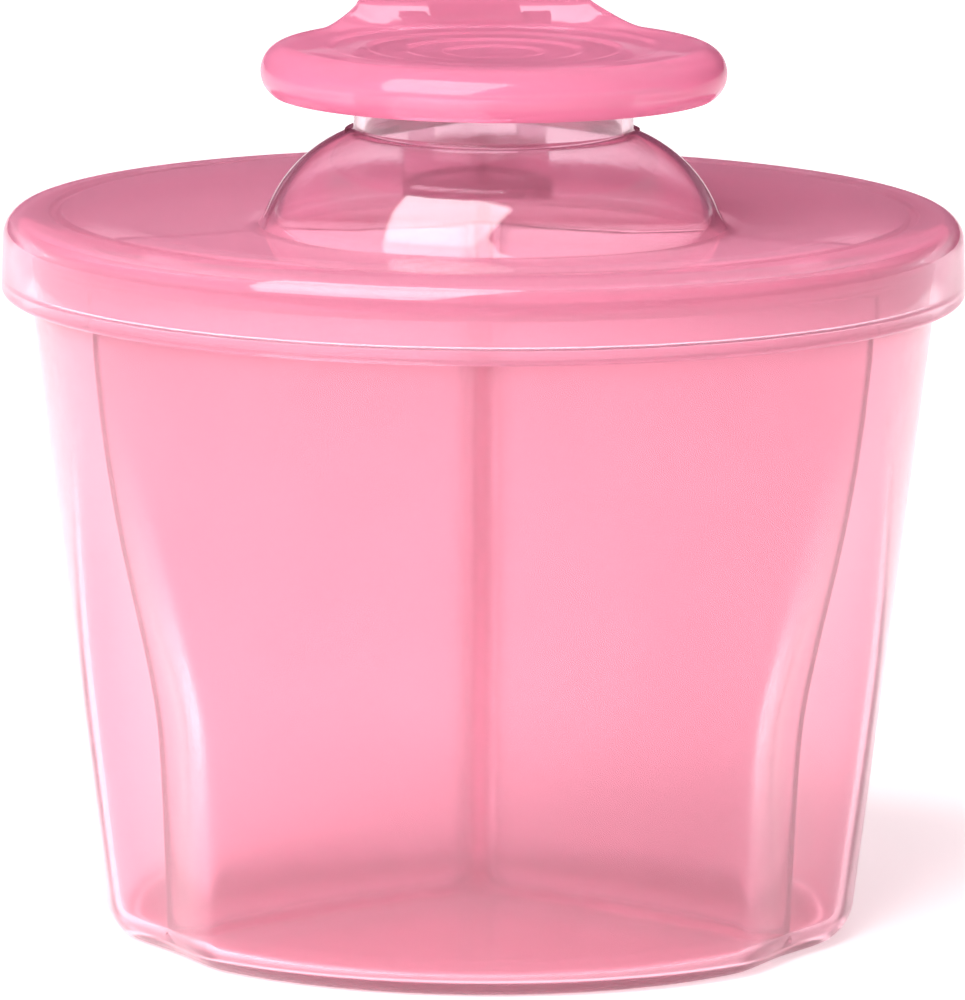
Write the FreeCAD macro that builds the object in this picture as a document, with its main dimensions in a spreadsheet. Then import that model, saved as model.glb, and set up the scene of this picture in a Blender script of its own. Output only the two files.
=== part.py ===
import FreeCAD, Part
import math
import os

# Formula dispenser: a round tub with a lift-out three-way divider, a lid that turns on the rim to put
# its spout over one compartment at a time, and a cap that flips open on the spout.
#
# Frame: millimetres, +Z up, origin on the tub's axis at the surface it stands on. -Y is the front,
# where the spout stands.

import Sketcher
from FreeCAD import Placement, Rotation, Vector

# Driving dimensions: name, value (mm, or degrees for an angle) and what it measures.
DIMENSIONS = [
    # tub
    ("foot_radius", 46.0, "tub wall's outside, carried down to the table"),
    ("shoulder_radius", 55.2, "tub wall's outside where it turns upright"),
    ("shoulder_height", 76.0, "top of the tapered wall"),
    ("rim_height", 87.2, "top of the tub"),
    ("tub_wall", 1.7, "side wall"),
    ("tub_floor", 2.0, "floor"),
    ("floor_rise", 2.2, "how far the floor domes up in the middle, so that the tub stands on its edge"),
    ("dome_reach", 41.5, "radius where the domed floor meets the flat foot"),
    ("foot_round", 2.5, "round between wall and foot"),
    ("bead_reach", 1.15, "how far the snap bead stands out of the rim"),
    ("bead_depth", 3.2, "height of the snap bead"),
    ("rim_round", 0.7, "round on the rim's edges"),
    # finger hollows down the tub's sides, one at the end of each divider wall
    ("hollow_axis", 94.0, "tub's axis to the upright axis that each hollow is round"),
    ("hollow_top_reach", 54.5, "tub's axis to the hollow's middle, above where it leaves the wall"),
    ("hollow_top_height", 65.0, "height at which that reach is given"),
    ("hollow_knee_reach", 45.6, "tub's axis to the hollow's middle, where its slope changes"),
    ("hollow_knee_height", 31.6, "height of that change"),
    ("hollow_foot_reach", 44.3, "tub's axis to the hollow's middle, at the table"),
    ("hollow_knee_round", 90.0, "radius of the bend at the knee"),
    ("hollow_over", 25.0, "how far the hollow's slope is carried on above that height"),
    # divider
    ("divider_wall", 2.3, "thickness of each divider wall"),
    ("divider_play", 0.35, "gap between the divider and the tub"),
    ("divider_hub", 1.3, "width that the hub adds to the walls where they meet"),
    ("divider_top_gap", 0.4, "gap between the divider and the lid"),
    ("divider_lap", 0.3, "gap between the divider and the lid's seal ring"),
    # lid
    ("lid_top", 89.4, "height of the lid's flat top"),
    ("lid_plate", 1.8, "thickness of the lid's plate"),
    ("lid_radius", 58.9, "lid's side, just under its top edge"),
    ("lid_foot_radius", 59.2, "lid's side, at its lower edge"),
    ("lid_bottom", 78.9, "height of the lid's lower edge"),
    ("lid_edge_round", 3.2, "round on the lid's top edge"),
    ("lid_foot_round", 0.8, "round on the lid's lower edge"),
    ("skirt_bore", 57.2, "inside of the lid's side"),
    ("lip_bore", 56.65, "inside of the snap lip at the lid's lower edge"),
    ("lip_depth", 2.1, "height of the snap lip"),
    ("lip_lead", 0.5, "height of the lip's sloped upper edge"),
    ("seal_radius", 53.15, "outside of the seal ring that stands inside the rim"),
    ("seal_wall", 1.2, "thickness of the seal ring"),
    ("seal_depth", 4.0, "how far the seal ring reaches below the plate"),
    ("lid_rest_angle", 4.5, "how far the lid is turned to the right at rest, in degrees"),
    # spout
    ("spout_offset", 14.0, "tub's axis to the spout's axis"),
    ("bell_radius", 28.2, "bell's outside at the lid's top"),
    ("bell_height", 11.6, "height of the bell above the lid's top"),
    ("bell_curve", 17.6, "radius of the bell's side"),
    ("bell_wall", 1.3, "thickness of bell and neck"),
    ("bell_inner_drop", 0.35, "how far the bell's inner shoulder lies lower, per unit of wall"),
    ("neck_radius", 17.0, "outside of the pouring neck"),
    ("neck_top", 107.9, "height of the neck's mouth"),
    ("web_wall", 1.2, "thickness of the two webs and the shelf inside the bell"),
    ("web_margin", 1.65, "middle of a divider wall to the open side of the web above it"),
    # hinge
    ("hinge_back", 31.0, "spout's axis to the hinge's axis"),
    ("hinge_height", 105.5, "height of the hinge's axis"),
    ("knuckle_radius", 2.6, "outside of knuckle and lugs"),
    ("knuckle_width", 11.4, "width of the cap's knuckle"),
    ("lug_width", 3.6, "width of each of the lid's lugs"),
    ("lug_gap", 0.3, "gap between knuckle and lug"),
    ("trunnion_radius", 1.5, "pegs moulded on the knuckle"),
    ("trunnion_play", 0.08, "radial play of the pegs in the lugs"),
    ("post_top", 96.0, "height of the solid foot that carries the lugs"),
    ("post_front", 4.4, "how far that foot reaches from the hinge's axis towards the bell"),
    ("post_shoulder", 2.0, "height of the slope on the foot's front edge"),
    ("post_spread", 3.0, "how much further the foot reaches where it stands on the lid"),
    ("peg_inset", 0.4, "how much shorter the pegs are than the fork is wide"),
    ("knuckle_root", 1.0, "how far the knuckle runs up into the bar"),
    ("knuckle_web", 3.0, "how far the knuckle's root reaches towards the disc"),
    # cap
    ("cap_radius", 28.3, "widest radius of the cap"),
    ("cap_crest_radius", 25.0, "radius of the cap's highest ring"),
    ("cap_crest", 111.5, "height of that ring"),
    ("cap_waist", 109.0, "height where the cap is widest"),
    ("cap_bottom_radius", 26.9, "outside of the cap's lower edge"),
    ("cap_bottom", 105.8, "height of the cap's lower edge"),
    ("cap_rim_curve", 4.2, "radius of the rim's upper curve"),
    ("cap_rim_wall", 1.6, "thickness of the cap's side"),
    ("cap_roof", 108.4, "underside of the cap's top"),
    ("dish_depth", 1.1, "depth of the cap's dished top"),
    ("dish_terraces", 4, "number of rings stepped into the dish"),
    ("dish_first_ring", 5.5, "radius of the innermost ring"),
    ("dish_pitch", 4.7, "distance from ring to ring"),
    ("dish_ramp", 0.8, "width of the slope between two rings"),
    ("plug_radius", 15.45, "outside of the plug ring that closes the neck"),
    ("plug_taper", 0.35, "how much narrower the plug ring is at its end"),
    ("plug_wall", 1.2, "thickness of the plug ring"),
    ("plug_bottom", 104.4, "height of the plug ring's end"),
    ("tab_width", 28.6, "width of the bar across the back of the cap"),
    ("tab_thickness", 3.6, "front to back of that bar"),
    ("tab_top", 113.1, "height of that bar's top"),
    ("tab_drop", 4.0, "height of that bar"),
    ("tab_flare", 9.0, "radius of the flares that run the bar into the disc"),
    ("tab_spread", 5.6, "how far each flare spreads sideways"),
    ("tab_run", 7.0, "how far the flares run in over the disc's crest"),
    ("tab_sink", 0.1, "how far below the crest the bar's sloped top starts"),
    # cutting shapes
    ("overrun", 3.0, "how far a cutting shape runs past the surface it cuts"),
]

WALL_ANGLES = (90.0, 210.0, 330.0)   # the three divider walls, seen from above
HALF_COMPARTMENT = math.radians(60.0)
TOLERANCE = 1e-3

doc = FreeCAD.newDocument("formula_dispenser")
sheet = doc.addObject("Spreadsheet::Sheet", "Sizes")
for row, (alias, number, meaning) in enumerate(DIMENSIONS, start=1):
    sheet.set("A%d" % row, alias)
    sheet.set("B%d" % row, str(number))
    sheet.set("C%d" % row, meaning)
    sheet.setAlias("B%d" % row, alias)
doc.recompute()


class Size:
    """A length or angle that knows its number now and the sheet formula that gives it."""

    def __init__(self, number, formula=None):
        self.number = float(number)
        self.formula = formula or repr(float(number))

    def joined(self, sign, other, number):
        return Size(number, "(%s %s %s)" % (self.formula, sign, other.formula))

    def __add__(self, other):
        other = as_size(other)
        return self.joined("+", other, self.number + other.number)

    def __sub__(self, other):
        other = as_size(other)
        return self.joined("-", other, self.number - other.number)

    def __mul__(self, other):
        other = as_size(other)
        return self.joined("*", other, self.number * other.number)

    def __truediv__(self, other):
        other = as_size(other)
        return self.joined("/", other, self.number / other.number)

    def __neg__(self):
        return as_size(0) - self


def as_size(value):
    return value if isinstance(value, Size) else Size(value)


SIZES = {alias: Size(number, "Sizes." + alias) for alias, number, _ in DIMENSIONS}


def size(alias):
    return SIZES[alias]


ZERO = as_size(0)


# ---------------------------------------------------------------- ways of building

def origin_plane(body, role):
    return [face for face in body.Origin.OriginFeatures if face.Role == role][0]


def arc_middle(start, end, radius, side):
    """Point halfway along the arc from start to end; side is +1 where it bulges to the left."""
    half = (end - start) * 0.5
    rise = radius - math.sqrt(radius ** 2 - half.Length ** 2)
    left = Vector(-half.y, half.x, 0).normalize()
    return start + half + left * (side * rise)


def sketch_outline(body, role, corners, name="Outline"):
    """Closed outline on one of the body's origin planes.

    Each corner is (x, y), or (x, y, radius, side) where the edge to the next corner is an arc.
    Every corner and radius is bound to the sheet.
    """
    sketch = body.newObject("Sketcher::SketchObject", name)
    sketch.AttachmentSupport = [(origin_plane(body, role), "")]
    sketch.MapMode = "FlatFace"
    points = [Vector(as_size(c[0]).number, as_size(c[1]).number, 0) for c in corners]
    ends = []
    for index, corner in enumerate(corners):
        start, end = points[index], points[(index + 1) % len(points)]
        if len(corner) == 2:
            ends.append((sketch.addGeometry(Part.LineSegment(start, end), False), 1, 2))
            continue
        radius, side = corner[2], corner[3]
        middle = arc_middle(start, end, as_size(radius).number, side)
        edge = sketch.addGeometry(Part.Arc(start, middle, end), False)
        # a sketcher arc runs anticlockwise, so its start may be this edge's far end
        flipped = sketch.getPoint(edge, 1).distanceToPoint(start) > TOLERANCE
        ends.append((edge, 2, 1) if flipped else (edge, 1, 2))
    for index, corner in enumerate(corners):
        edge, first, _ = ends[index]
        before, _, last = ends[index - 1]
        sketch.addConstraint(Sketcher.Constraint("Coincident", before, last, edge, first))
        for kind, value in (("DistanceX", corner[0]), ("DistanceY", corner[1])):
            value = as_size(value)
            number = sketch.addConstraint(
                Sketcher.Constraint(kind, -1, 1, edge, first, value.number))
            sketch.setExpression("Constraints[%d]" % number, value.formula)
        if len(corner) > 2:
            radius = as_size(corner[2])
            number = sketch.addConstraint(Sketcher.Constraint("Radius", edge, radius.number))
            sketch.setExpression("Constraints[%d]" % number, radius.formula)
    return sketch


def turned_body(name, corners):
    """Body turned about its own Z axis from an outline of (radius, height) corners."""
    body = doc.addObject("PartDesign::Body", name)
    sketch = sketch_outline(body, "XZ_Plane", corners)
    turn = body.newObject("PartDesign::Revolution", "Turn")
    turn.Profile = sketch
    turn.ReferenceAxis = (sketch, ["V_Axis"])
    turn.Angle = 360.0
    doc.recompute()
    return body


def plate_body(name, corners, bottom, top):
    """Body padded upright from an outline of (x, y) corners, between two heights."""
    body = doc.addObject("PartDesign::Body", name)
    sketch = sketch_outline(body, "XY_Plane", corners)
    sketch.setExpression("AttachmentOffset.Base.z", as_size(bottom).formula)
    pad = body.newObject("PartDesign::Pad", "Thickness")
    pad.Profile = sketch
    pad.setExpression("Length", (as_size(top) - bottom).formula)
    doc.recompute()
    return body


def side_body(name, corners, width):
    """Body padded equally both ways along X from an outline of (y, z) corners."""
    body = doc.addObject("PartDesign::Body", name)
    sketch = sketch_outline(body, "YZ_Plane", corners)
    pad = body.newObject("PartDesign::Pad", "Width")
    pad.Profile = sketch
    pad.Midplane = True
    pad.setExpression("Length", as_size(width).formula)
    doc.recompute()
    return body


def round_edges(body, radius, chosen, name="Round"):
    """Fillet of every edge of the body's last feature that chosen(edge) picks."""
    base = body.Tip
    names = ["Edge%d" % (n + 1) for n, edge in enumerate(base.Shape.Edges) if chosen(edge)]
    if not names:
        raise RuntimeError("%s: no edge to round on %s" % (name, body.Name))
    fillet = body.newObject("PartDesign::Fillet", name)
    fillet.Base = (base, names)
    fillet.setExpression("Radius", as_size(radius).formula)
    doc.recompute()
    return fillet


def ring_edge(radius, height):
    """Picks the full circle of that radius at that height."""
    def chosen(edge):
        return (not edge.Degenerated and isinstance(edge.Curve, Part.Circle)
                and abs(edge.Curve.Radius - as_size(radius).number) < TOLERANCE
                and abs(edge.Curve.Center.z - as_size(height).number) < TOLERANCE)
    return chosen


def placed(obj, y=None, angle=None):
    """Sets an object's place: y along Y, and a turn about Z, both bound to the sheet."""
    obj.Placement = Placement(Vector(0, 0, 0), Rotation(Vector(0, 0, 1), 1.0))
    if y is not None:
        obj.setExpression("Placement.Base.y", as_size(y).formula)
    obj.setExpression("Placement.Rotation.Angle", as_size(angle or 0).formula)
    return obj


def joined(name, *parts):
    result = doc.addObject("Part::MultiFuse", name)
    result.Shapes = list(parts)
    result.Refine = True
    doc.recompute()
    return result


def without(name, base, tool):
    result = doc.addObject("Part::Cut", name)
    result.Base, result.Tool = base, tool
    result.Refine = True
    doc.recompute()
    return result


def shared(name, *parts):
    result = doc.addObject("Part::MultiCommon", name)
    result.Shapes = list(parts)
    result.Refine = True
    doc.recompute()
    return result


def copies(name, body, angles):
    """A copy of the body at each angle about the tub's axis."""
    parts = []
    for angle in angles:
        copy = doc.addObject("Part::Compound", "%s_%d" % (name, angle))
        copy.Links = [body]
        copy.Placement = Placement(Vector(0, 0, 0), Rotation(Vector(0, 0, 1), angle))
        parts.append(copy)
    doc.recompute()
    return parts


# ---------------------------------------------------------------- the tub's shape

def wall_radius(height):
    """Tub wall's outside at a height on its taper."""
    slope = (size("shoulder_radius") - size("foot_radius")) / size("shoulder_height")
    return size("foot_radius") + slope * height


def dome_curve():
    """Radius of the arc of the domed floor."""
    reach, rise = size("dome_reach"), size("floor_rise")
    return (reach * reach + rise * rise) / (rise * 2)


def tub_solid(name, inset, lift, top):
    """The tub's outer shape drawn in by inset, on a floor lifted by lift, open to a height."""
    foot = wall_radius(lift) - inset
    shoulder = size("shoulder_radius") - inset
    corners = [
        (ZERO, size("floor_rise") + lift, dome_curve(), 1),
        (size("dome_reach") - inset, as_size(lift)),
        (foot, as_size(lift)),
        (shoulder, size("shoulder_height")),
        (shoulder, top),
        (ZERO, top),
    ]
    body = turned_body(name, corners)
    round_edges(body, size("foot_round") - inset * 0.5, ring_edge(foot, lift), "FootRound")
    return body


def hollow_cutter(name, grow):
    """Three upright round tools that press the finger hollows in, grown by a wall's thickness."""
    def reach(alias):
        return size("hollow_axis") - size(alias) + grow
    over, below = size("hollow_over"), ZERO - size("overrun")
    slope = (size("hollow_top_reach") - size("hollow_knee_reach")) \
        / (size("hollow_top_height") - size("hollow_knee_height"))
    body = turned_body(name + "_tool", [
        (ZERO, below),
        (reach("hollow_foot_reach"), below),
        (reach("hollow_foot_reach"), ZERO),
        (reach("hollow_knee_reach"), size("hollow_knee_height")),
        (reach("hollow_top_reach") - slope * over, size("hollow_top_height") + over),
        (ZERO, size("hollow_top_height") + over),
    ])
    round_edges(body, size("hollow_knee_round"),
                ring_edge(reach("hollow_knee_reach"), size("hollow_knee_height")), "KneeRound")
    body.setExpression("Placement.Base.x", "Sizes.hollow_axis")
    return joined(name, *copies(name, body, WALL_ANGLES))


def make_tub():
    """The tub: one thin-walled moulding that follows the hollows inside and out."""
    rim = size("rim_height")
    outer = tub_solid("tub_outer", ZERO, ZERO, rim)
    bead = turned_body("tub_bead", [
        (size("shoulder_radius") - size("tub_wall") * 0.5, rim - size("bead_depth")),
        (size("shoulder_radius"), rim - size("bead_depth")),
        (size("shoulder_radius") + size("bead_reach"), rim - size("bead_depth") + size("bead_reach")),
        (size("shoulder_radius") + size("bead_reach"), rim),
        (size("shoulder_radius") - size("tub_wall") * 0.5, rim),
    ])
    round_edges(bead, size("rim_round"),
                ring_edge(size("shoulder_radius") + size("bead_reach"), rim), "RimRound")
    pressed = without("tub_pressed", outer, hollow_cutter("hollows_outside", ZERO))
    crisp = joined("tub_crisp", pressed, bead)
    over_rim = rim + size("overrun")
    cavity = without("tub_cavity", tub_solid("tub_inner", size("tub_wall"), size("tub_floor"), over_rim),
                     hollow_cutter("hollows_inside", size("tub_wall")))
    return without("tub", crisp, cavity)


# ---------------------------------------------------------------- the divider

def make_divider():
    """Three upright walls from one hub, with a loose fit inside the tub, notched for the lid."""
    play, wall = size("divider_play"), size("divider_wall")
    top = size("lid_top") - size("lid_plate") - size("divider_top_gap")
    inset = size("tub_wall") + play
    envelope = without("divider_room", tub_solid("divider_outer", inset, size("tub_floor") + play, top),
                       hollow_cutter("hollows_divider", inset))
    reach = size("shoulder_radius") + size("overrun")
    one_wall = plate_body("divider_wall", [
        (ZERO, ZERO - wall * 0.5),
        (reach, ZERO - wall * 0.5),
        (reach, wall * 0.5),
        (ZERO, wall * 0.5),
    ], ZERO, top)
    hub_radius = wall * 0.5 + size("divider_hub") * 0.5
    hub = doc.addObject("Part::Cylinder", "divider_hub")
    hub.setExpression("Radius", hub_radius.formula)
    hub.setExpression("Height", top.formula)
    walls = joined("divider_star", hub, *copies("divider_walls", one_wall, WALL_ANGLES))
    fitted = shared("divider_fitted", walls, envelope)
    notch_radius = size("seal_radius") - size("seal_wall") - size("divider_lap")
    notch_floor = size("lid_top") - size("lid_plate") - size("seal_depth") - size("divider_lap")
    notch = turned_body("divider_notch", [
        (notch_radius, notch_floor),
        (reach, notch_floor),
        (reach, top + size("overrun")),
        (notch_radius, top + size("overrun")),
    ])
    return without("divider", fitted, notch)


# ---------------------------------------------------------------- the lid

def bell_corners(inset, bottom, neck_top):
    """Outline of the spout, bell below and neck above, drawn in by inset."""
    curve = size("bell_curve") - inset
    shoulder = size("lid_top") + size("bell_height") - size("bell_inner_drop") * inset
    return [
        (ZERO, bottom),
        (size("bell_radius") - inset, bottom),
        (size("bell_radius") - inset, size("lid_top"), curve, -1),
        (size("neck_radius") - inset, shoulder),
        (size("neck_radius") - inset, neck_top),
        (ZERO, neck_top),
    ]


def wedge_corners(margin):
    """Open-ended wedge towards the front, whose sides stay margin inside the divider walls."""
    apex = ZERO - as_size(margin) / math.sin(HALF_COMPARTMENT)
    reach = size("lid_radius")
    spread = reach * math.tan(HALF_COMPARTMENT)
    return [(ZERO, apex), (ZERO - spread, apex - reach), (spread, apex - reach)]


def make_lid_shell():
    """The lid's plate with its side, snap lip and seal ring."""
    under = size("lid_top") - size("lid_plate")
    lip_top = size("lid_bottom") + size("lip_depth")
    shell = turned_body("lid_shell", [
        (ZERO, under),
        (size("seal_radius") - size("seal_wall"), under),
        (size("seal_radius") - size("seal_wall"), under - size("seal_depth")),
        (size("seal_radius"), under - size("seal_depth")),
        (size("seal_radius"), under),
        (size("skirt_bore"), under),
        (size("skirt_bore"), lip_top),
        (size("lip_bore"), lip_top - size("lip_lead")),
        (size("lip_bore"), size("lid_bottom")),
        (size("lid_foot_radius"), size("lid_bottom")),
        (size("lid_radius"), size("lid_top")),
        (ZERO, size("lid_top")),
    ])
    round_edges(shell, size("lid_edge_round"), ring_edge(size("lid_radius"), size("lid_top")),
                "TopRound")
    round_edges(shell, size("lid_foot_round"),
                ring_edge(size("lid_foot_radius"), size("lid_bottom")), "FootRound")
    return shell


def make_lid():
    """The lid: shell, bell, neck, webs, shelf and hinge lugs, in one moulding."""
    under = size("lid_top") - size("lid_plate")
    offset = ZERO - size("spout_offset")
    neck_top = size("neck_top")
    shelf_top = size("lid_top") + size("bell_height")
    shelf_under = shelf_top - size("web_wall")
    over, wide = size("overrun"), size("lid_radius")

    bell = placed(turned_body("bell_outer", bell_corners(ZERO, under, neck_top)), y=offset)
    hollow = placed(turned_body("bell_inner", bell_corners(size("bell_wall"), under - over, neck_top + over)),
                    y=offset)
    passage = shared("bell_passage", hollow,
                     plate_body("passage_wedge", wedge_corners(size("web_margin")),
                                under - over * 2, neck_top + over * 2))
    low_room = plate_body("low_room", [
        (ZERO - wide, ZERO - wide), (wide, ZERO - wide), (wide, wide), (ZERO - wide, wide),
    ], under - over * 2, shelf_under)
    blind = without("bell_blind", shared("bell_low", hollow, low_room),
                    plate_body("blind_wedge",
                               wedge_corners(size("web_margin") - size("web_wall")),
                               under - over * 3, shelf_under + over))
    mouth = placed(plate_cylinder("neck_mouth", size("neck_radius") - size("bell_wall"),
                                  shelf_top, neck_top + over), y=offset)

    hinge_y = size("hinge_back") - size("spout_offset")
    lug_span = size("knuckle_width") + (size("lug_gap") + size("lug_width")) * 2
    half = size("knuckle_radius")
    lugs = side_body("hinge_lugs", [
        (hinge_y + half, under),
        (hinge_y + half, size("hinge_height"), half, -1),
        (hinge_y, size("hinge_height") + half, half, -1),
        (hinge_y - half, size("hinge_height")),
        (hinge_y - half, size("post_top")),
        (hinge_y - size("post_front"), size("post_top") - size("post_shoulder")),
        (hinge_y - size("post_front") - size("post_spread"), under),
    ], lug_span)
    slot_reach = half + over
    slot = side_body("hinge_slot", [
        (hinge_y - slot_reach, size("post_top")),
        (hinge_y + slot_reach, size("post_top")),
        (hinge_y + slot_reach, size("hinge_height") + slot_reach),
        (hinge_y - slot_reach, size("hinge_height") + slot_reach),
    ], size("knuckle_width") + size("lug_gap") * 2)
    pin_hole = cross_pin("hinge_holes", size("trunnion_radius") + size("trunnion_play"),
                         lug_span + over * 2, hinge_y, size("hinge_height"))
    carrier = without("hinge_carrier", without("hinge_forked", lugs, slot), pin_hole)

    solid = joined("lid_solid", make_lid_shell(), bell, carrier)
    air = joined("lid_air", passage, blind, mouth)
    lid = without("lid", solid, air)
    return placed(lid, angle=size("lid_rest_angle"))


def plate_cylinder(name, radius, bottom, top):
    """Upright cylinder about its own Z axis, between two heights."""
    return turned_body(name, [(ZERO, bottom), (radius, bottom), (radius, top), (ZERO, top)])


def cross_pin(name, radius, length, y, z):
    """Cylinder along X, centred on the tub's middle plane."""
    pin = doc.addObject("Part::Cylinder", name)
    pin.Placement = Placement(Vector(0, 0, 0), Rotation(Vector(0, 1, 0), 90.0))
    pin.setExpression("Radius", as_size(radius).formula)
    pin.setExpression("Height", as_size(length).formula)
    pin.setExpression("Placement.Base.x", (ZERO - as_size(length) * 0.5).formula)
    pin.setExpression("Placement.Base.y", as_size(y).formula)
    pin.setExpression("Placement.Base.z", as_size(z).formula)
    doc.recompute()
    return pin


# ---------------------------------------------------------------- the cap

def dish_corners():
    """The dished top from its middle out: terraces that step up to the crest."""
    crest, depth = size("cap_crest"), size("dish_depth")
    terraces = int(size("dish_terraces").number)
    corners = [(ZERO, crest - depth)]
    for ring in range(terraces):
        inner = size("dish_first_ring") + size("dish_pitch") * ring
        step = depth / (terraces + 1)
        low = crest - depth + step * ring
        corners.append((inner, low))
        corners.append((inner + size("dish_ramp"), low + step))
    return corners


def make_cap():
    """The cap: a hollow disc with a plug ring, a bar across its back and the hinge's knuckle."""
    offset = ZERO - size("spout_offset")
    rim_wall, plug = size("cap_rim_wall"), size("plug_radius")
    disc = placed(turned_body("cap_disc", dish_corners() + [
        (size("cap_crest_radius"), size("cap_crest"), size("cap_rim_curve"), 1),
        (size("cap_radius"), size("cap_waist"), size("cap_rim_curve"), 1),
        (size("cap_bottom_radius"), size("cap_bottom")),
        (size("cap_bottom_radius") - rim_wall, size("cap_bottom")),
        (size("cap_bottom_radius") - rim_wall, size("cap_roof")),
        (plug, size("cap_roof")),
        (plug - size("plug_taper"), size("plug_bottom")),
        (plug - size("plug_wall"), size("plug_bottom")),
        (plug - size("plug_wall"), size("cap_roof")),
        (ZERO, size("cap_roof")),
    ]), y=offset)

    hinge_y = size("hinge_back") - size("spout_offset")
    back = hinge_y + size("tab_thickness") * 0.5
    tab_low = size("tab_top") - size("tab_drop")
    half = size("tab_width") * 0.5
    flare, spread = size("tab_flare"), size("tab_spread")
    inner_y = size("cap_crest_radius") - size("spout_offset") - size("tab_run")
    tab = plate_body("cap_tab", [
        (ZERO - half, back),
        (ZERO - half, back - size("tab_thickness"), flare, 1),
        (ZERO - half - spread, inner_y),
        (half + spread, inner_y, flare, 1),
        (half, back - size("tab_thickness")),
        (half, back),
    ], tab_low, size("tab_top"))
    over = size("overrun")
    slope = side_body("tab_slope", [
        (inner_y - over, size("cap_crest") - size("dish_depth")),
        (inner_y + over, size("cap_crest") - size("tab_sink")),
        (back - size("tab_thickness"), size("tab_top")),
        (back - size("tab_thickness"), size("tab_top") + over),
        (inner_y - over, size("tab_top") + over),
    ], (half + spread + over) * 2)
    shaped_tab = without("tab_shaped", tab, slope)

    round_radius, root = size("knuckle_radius"), size("knuckle_root")
    web_y = hinge_y - round_radius - size("knuckle_web")
    knuckle = side_body("cap_knuckle", [
        (hinge_y - round_radius, size("hinge_height"), round_radius, -1),
        (hinge_y, size("hinge_height") - round_radius, round_radius, -1),
        (hinge_y + round_radius, size("hinge_height")),
        (hinge_y + size("tab_thickness") * 0.5, tab_low + root),
        (web_y, tab_low + root),
        (web_y, size("cap_bottom") + root),
    ], size("knuckle_width"))
    peg_span = size("knuckle_width") + (size("lug_gap") + size("lug_width")) * 2 - size("peg_inset")
    pegs = cross_pin("cap_pegs", size("trunnion_radius"), peg_span, hinge_y, size("hinge_height"))
    cap = joined("cap", disc, shaped_tab, knuckle, pegs)
    return placed(cap, angle=size("lid_rest_angle"))


# ---------------------------------------------------------------- check and write

def check(nodes):
    for obj in doc.Objects:
        if "Invalid" in obj.State or "Error" in obj.State:
            raise RuntimeError("%s did not compute: %s" % (obj.Name, obj.State))
    for name, obj in nodes.items():
        shape = obj.Shape
        if shape.isNull() or not shape.isValid() or len(shape.Solids) != 1:
            raise RuntimeError("%s is not one valid solid" % name)


def main_build():
    nodes = {"tub": make_tub(), "divider": make_divider(), "lid": make_lid(), "flip_cap": make_cap()}
    for name, obj in nodes.items():
        obj.Label = name
    doc.recompute()
    check(nodes)
    os.makedirs("parts", exist_ok=True)
    for name, obj in nodes.items():
        obj.Shape.exportStep(os.path.join("parts", name + ".step"))
        box = obj.Shape.BoundBox
        print("%-10s volume %9.1f mm3  z %.2f to %.2f  x %.2f to %.2f  y %.2f to %.2f" % (
            name, obj.Shape.Volume, box.ZMin, box.ZMax, box.XMin, box.XMax, box.YMin, box.YMax))


main_build()
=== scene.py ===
import math

import bpy
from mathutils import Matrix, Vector


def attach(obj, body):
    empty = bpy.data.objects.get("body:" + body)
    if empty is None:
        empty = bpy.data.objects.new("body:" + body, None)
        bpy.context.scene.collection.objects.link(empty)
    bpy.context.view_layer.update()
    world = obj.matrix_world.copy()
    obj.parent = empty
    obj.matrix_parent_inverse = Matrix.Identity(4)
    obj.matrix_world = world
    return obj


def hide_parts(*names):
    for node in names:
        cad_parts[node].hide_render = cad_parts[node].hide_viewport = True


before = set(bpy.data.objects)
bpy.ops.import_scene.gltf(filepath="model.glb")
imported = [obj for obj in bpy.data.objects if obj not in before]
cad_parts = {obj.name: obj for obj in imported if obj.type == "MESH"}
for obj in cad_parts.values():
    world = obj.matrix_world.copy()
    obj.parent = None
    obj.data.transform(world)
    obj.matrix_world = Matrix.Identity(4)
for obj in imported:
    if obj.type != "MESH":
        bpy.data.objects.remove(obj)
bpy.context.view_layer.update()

# ---------------------------------------------------------------- tub
# The tub is one thin-walled moulding in clear tinted polypropylene. Its wall tapers to the foot, three
# finger hollows are pressed into it where the divider's walls end, and its floor domes up in the middle
# so that it stands on a narrow ring. The cavity follows the hollows, so the wall is even all over.

MM = 0.001                    # the dispenser's sections are in millimetres, and Blender is in metres
FOOT_RADIUS = 46.0
SHOULDER_RADIUS = 55.2
SHOULDER_HEIGHT = 76.0
RIM_HEIGHT = 87.2
TUB_WALL = 1.7
TUB_FLOOR = 2.0
FLOOR_RISE = 2.2
FLOOR_REACH = 41.5
FOOT_ROUND = 3.4
BEAD_DROP = 2.75              # from the rim's top down to the snap bead
BEAD_LEAD = 0.3               # the wall starts to swell this far below the bead
BEAD_SWELL = 0.15
BEAD_REACH = 1.15
BEAD_SOFT = 0.1
RIM_ROUND_OUT = 0.7
RIM_ROUND_IN = 0.5
RIM_STRAIGHT = 2              # height of the straight bore above the shoulder
CAVITY_ROUND = 2.2
CAVITY_FLOOR_REACH = 39.5
HOLLOW_AXIS = 94.0            # from the tub's axis to the axis of the round tool that presses a hollow
HOLLOW_KNEE_REACH = 45.6
HOLLOW_KNEE_HEIGHT = 31.6
HOLLOW_SLOPE_LOW = 0.04
HOLLOW_SLOPE_HIGH = 0.266
HOLLOW_KNEE_BEND = 6.0
HOLLOW_EDGE_BLEND = 1.7
WALL_ANGLES = [math.radians(a) for a in (90, 210, 330)]
TUB_STEPS = 360
WALL_STEPS = 70
FLOOR_STEPS = 8


def soft_min(a, b, blend):
    """The lesser of two lengths, with the corner between them rounded."""
    near = max(blend - abs(a - b), 0.0) / blend
    return min(a, b) - near * near * blend / 4


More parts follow.
